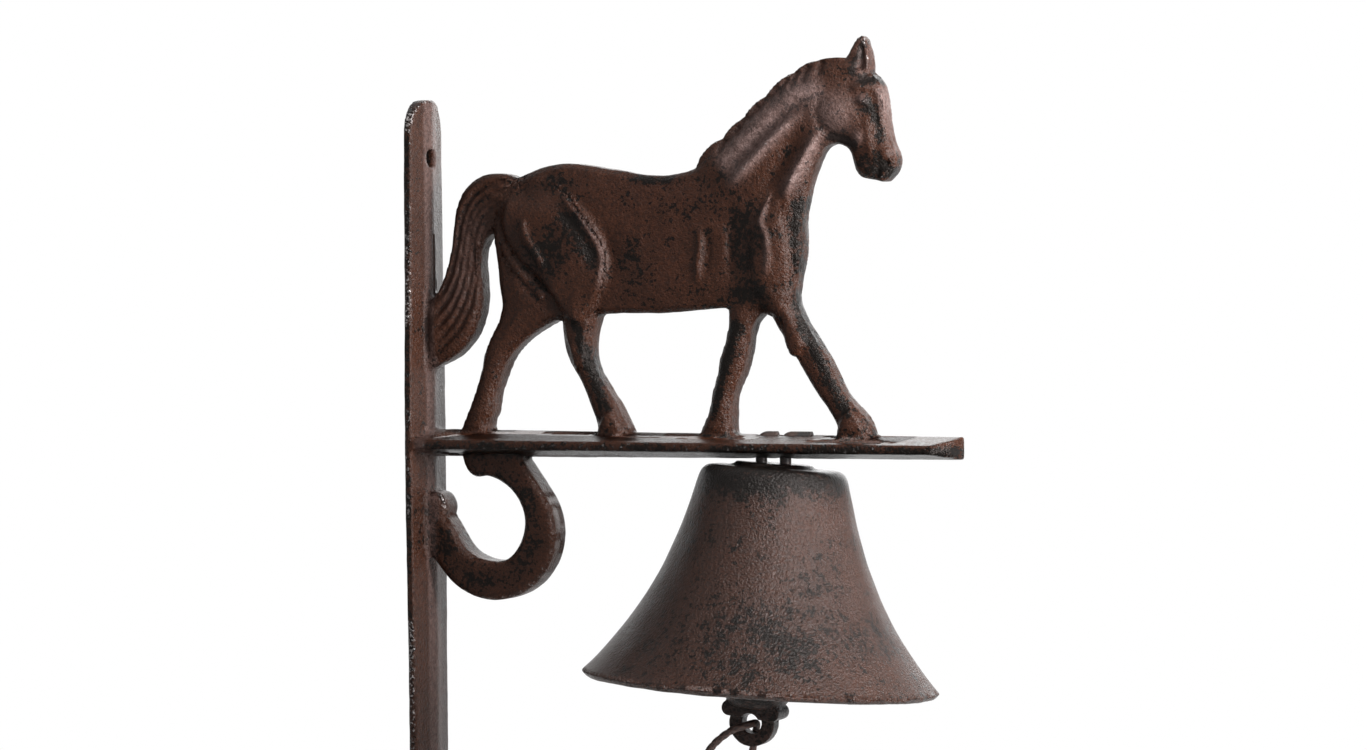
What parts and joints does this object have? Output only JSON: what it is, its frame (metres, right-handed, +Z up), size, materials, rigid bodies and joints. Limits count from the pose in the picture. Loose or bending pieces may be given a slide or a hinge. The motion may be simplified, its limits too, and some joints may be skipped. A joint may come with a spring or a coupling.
{
  "type": "wall bell",
  "caption": "Cast-iron wall bell: a wall plate and arm that carry a walking horse, braced by a horseshoe, with a hanging bell, a clapper and a pull cord.",
  "frame": {"origin": "on the wall plate's flat back face, midway between its two screw holes", "axes": "+X straight out from the wall along the arm, +Z up along the plate, Y along the wall"},
  "size_m": [0.1668, 0.1016, 0.2605],
  "materials": {
    "painted_iron": "dark red-brown paint, semi-gloss, worn to grey metal on the ridges",
    "iron_wire": "dark painted wire, satin",
    "braided_cord": "dark brown braid, matte"
  },
  "bodies": {
    "bracket": {"bracket_casting": "painted_iron", "hanger_staple": "iron_wire"},
    "bell": {"bell": "painted_iron"},
    "clapper_link": {"clapper_link": "iron_wire"},
    "clapper": {"clapper": "painted_iron", "pull_cord": "braided_cord", "pull_knot": "braided_cord"}
  },
  "joints": [
    {"name": "bell_swing", "type": "hinge", "parent": "bracket", "child": "bell", "pos_m": [0.11, 0, 0.01316], "axis": [1, 0, 0], "range_deg": [-1, 7]},
    {"name": "link_swing", "type": "hinge", "parent": "bracket", "child": "clapper_link", "pos_m": [0.11, 0, 0.00821], "axis": [1, 0, 0], "range_deg": [-12, 12]},
    {"name": "clapper_swing", "type": "hinge", "parent": "clapper_link", "child": "clapper", "pos_m": [0.11, 0, 0.00051], "axis": [0, 1, 0], "range_deg": [-31, 22]}
  ]
}
